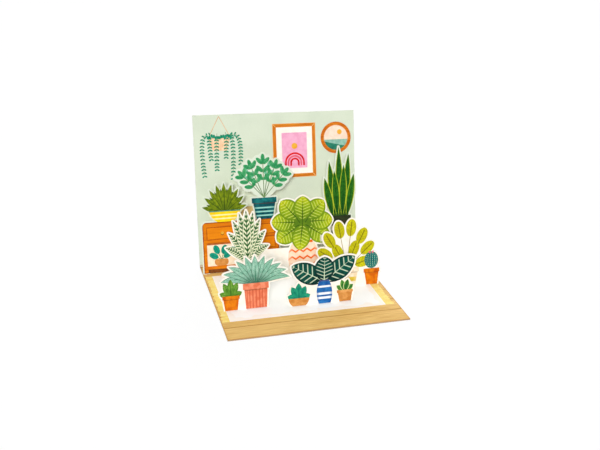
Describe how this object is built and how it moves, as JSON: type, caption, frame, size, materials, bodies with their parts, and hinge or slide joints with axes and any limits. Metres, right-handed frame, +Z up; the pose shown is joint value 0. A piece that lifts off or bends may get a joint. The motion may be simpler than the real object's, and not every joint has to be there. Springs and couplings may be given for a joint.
{
  "type": "pop-up greeting card",
  "caption": "Folding pop-up card that stands open: a floor panel, a leaning wall panel and die-cut layers of potted plants tied by folded paper strips.",
  "frame": {"origin": "centre of the floor panel's underside, on the table", "axes": "+Z up, +Y from the free edge of the floor panel towards the fold and the wall panel, +X along the fold to the viewer's right"},
  "size_m": [0.133, 0.147, 0.1193],
  "materials": {
    "board": "matt coated card, printed inside",
    "layer_paper": "matt paper, printed in front",
    "strip_paper": "matt paper"
  },
  "bodies": {
    "root": {"card_board": "board", "cabinet_layer": "layer_paper", "tall_plant_layer": "layer_paper", "middle_layer": "layer_paper", "right_layer": "layer_paper", "left_front_layer": "layer_paper", "right_front_layer": "layer_paper", "cabinet_top": "strip_paper", "tall_plant_strip": "strip_paper", "middle_left_strip": "strip_paper", "middle_right_strip": "strip_paper", "right_strip": "strip_paper", "left_front_strip": "strip_paper", "right_front_strip": "strip_paper"}
  },
  "joints": []
}
